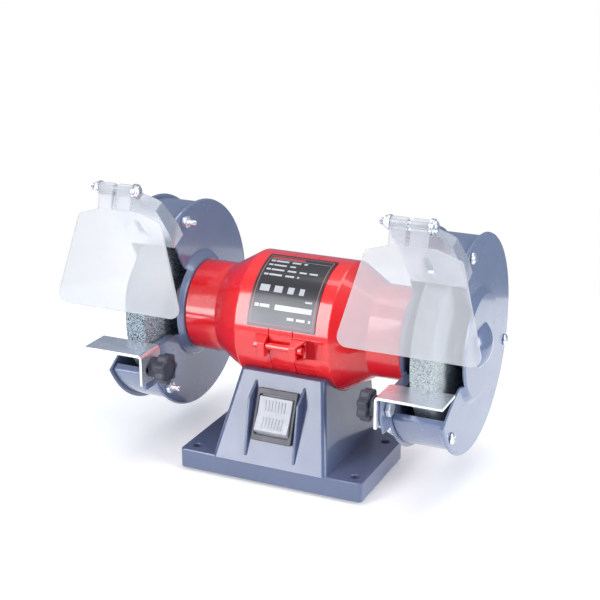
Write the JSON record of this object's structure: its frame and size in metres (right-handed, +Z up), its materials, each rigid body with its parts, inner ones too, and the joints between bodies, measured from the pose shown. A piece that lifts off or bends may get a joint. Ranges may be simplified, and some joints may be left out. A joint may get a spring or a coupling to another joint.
{
  "type": "bench grinder",
  "caption": "Bench grinder: pedestal base with a switch, a motor across its top, a guarded wheel at each end, clear eye shields and sliding tool rests.",
  "frame": {"origin": "on the bench, below the middle of the spindle; the underside of the bottom plate's middle panel is 1.7 mm above it because the part stands on rubber feet", "axes": "+X along the spindle from the left wheel to the right wheel, +Y to the back, +Z up"},
  "size_m": [0.3206, 0.17, 0.2109],
  "materials": {
    "guard_paint": "semi-gloss blue-grey paint",
    "base_plastic": "semi-gloss blue-grey moulded plastic",
    "motor_paint": "gloss red paint",
    "zinc": "bright zinc plate",
    "steel": "turned steel",
    "plate_steel": "plain sheet steel",
    "black_plastic": "matt black plastic",
    "rubber": "matt black rubber",
    "bezel_plastic": "satin dark grey plastic",
    "rocker_plastic": "frosted pale grey plastic",
    "stone_left": "rough dark grey abrasive",
    "stone_right": "rough pale grey-green abrasive",
    "clear_plastic": "clear slightly frosted polycarbonate",
    "winding": "enamelled copper wire",
    "iron": "laminated iron",
    "label": "satin printed film, black fading to silver",
    "capacitor": "smooth white plastic",
    "terminal": "matt natural nylon"
  },
  "bodies": {
    "grinder_frame": {"base_housing": "base_plastic", "bottom_plate": "plate_steel", "foot_front_left": "rubber", "foot_front_right": "rubber", "foot_rear_left": "rubber", "foot_rear_right": "rubber", "switch_bezel": "bezel_plastic", "cord_gland": "black_plastic", "run_capacitor": "capacitor", "terminal_block": "terminal", "end_bell_left": "motor_paint", "end_bell_right": "motor_paint", "stator_core": "motor_paint", "through_bolt_front": "motor_paint", "through_bolt_rear": "motor_paint", "stator_winding": "winding", "bearing_left": "steel", "bearing_right": "steel", "motor_screw_left": "steel", "motor_screw_right": "steel", "rating_plate": "label", "guard_inner_left": "guard_paint", "guard_band_left": "guard_paint", "guard_cover_left": "guard_paint", "cover_screw_left_1": "zinc", "cover_screw_left_2": "zinc", "cover_screw_left_3": "zinc", "bracket_bolt_left": "zinc", "rest_bolt_left": "zinc", "guard_inner_right": "guard_paint", "guard_band_right": "guard_paint", "guard_cover_right": "guard_paint", "cover_screw_right_1": "zinc", "cover_screw_right_2": "zinc", "cover_screw_right_3": "zinc", "bracket_bolt_right": "zinc", "rest_bolt_right": "zinc"},
    "rotor_assembly": {"spindle": "steel", "rotor": "iron", "grinding_wheel_left": "stone_left", "inner_flange_left": "steel", "outer_flange_left": "steel", "spindle_nut_left": "steel", "grinding_wheel_right": "stone_right", "inner_flange_right": "steel", "outer_flange_right": "steel", "spindle_nut_right": "steel"},
    "rocker": {"switch_rocker": "rocker_plastic"},
    "left_bracket": {"shield_bracket_left": "zinc", "shield_pivot_bolt_left": "zinc", "pivot_nut_left": "zinc"},
    "left_shield": {"eye_shield_left": "clear_plastic"},
    "left_rest": {"tool_rest_left": "zinc"},
    "left_knob": {"rest_knob_left": "black_plastic"},
    "right_bracket": {"shield_bracket_right": "zinc", "shield_pivot_bolt_right": "zinc", "pivot_nut_right": "zinc"},
    "right_shield": {"eye_shield_right": "clear_plastic"},
    "right_rest": {"tool_rest_right": "zinc"},
    "right_knob": {"rest_knob_right": "black_plastic"}
  },
  "joints": [
    {"name": "spindle_spin", "type": "hinge", "parent": "grinder_frame", "child": "rotor_assembly", "pos_m": [0, 0, 0.106], "axis": [1, 0, 0], "continuous": true},
    {"name": "switch_rock", "type": "hinge", "parent": "grinder_frame", "child": "rocker", "pos_m": [0, -0.05416, 0.04927], "axis": [1, 0, 0], "range_deg": [0, 14]},
    {"name": "left_bracket_slide", "type": "slide", "parent": "grinder_frame", "child": "left_bracket", "axis": [-0.2588, -0.428, 0.8659], "range_m": [-0.0035, 0.003]},
    {"name": "left_shield_tilt", "type": "hinge", "parent": "left_bracket", "child": "left_shield", "pos_m": [-0.11, -0.06251, 0.20554], "axis": [-1, 0, 0], "range_deg": [-5, 75]},
    {"name": "left_rest_slide", "type": "slide", "parent": "grinder_frame", "child": "left_rest", "axis": [0, 1, 0], "range_m": [-0.005, 0.003]},
    {"name": "left_knob_turn", "type": "hinge", "parent": "grinder_frame", "child": "left_knob", "pos_m": [-0.08, -0.076, 0.081], "axis": [1, 0, 0], "range_deg": [0, 360]},
    {"name": "right_bracket_slide", "type": "slide", "parent": "grinder_frame", "child": "right_bracket", "axis": [-0.2588, -0.428, 0.8659], "range_m": [-0.0035, 0.003]},
    {"name": "right_shield_tilt", "type": "hinge", "parent": "right_bracket", "child": "right_shield", "pos_m": [0.11, -0.06251, 0.20554], "axis": [-1, 0, 0], "range_deg": [-5, 75]},
    {"name": "right_rest_slide", "type": "slide", "parent": "grinder_frame", "child": "right_rest", "axis": [0, 1, 0], "range_m": [-0.005, 0.003]},
    {"name": "right_knob_turn", "type": "hinge", "parent": "grinder_frame", "child": "right_knob", "pos_m": [0.08, -0.076, 0.081], "axis": [1, 0, 0], "range_deg": [0, 360]}
  ]
}
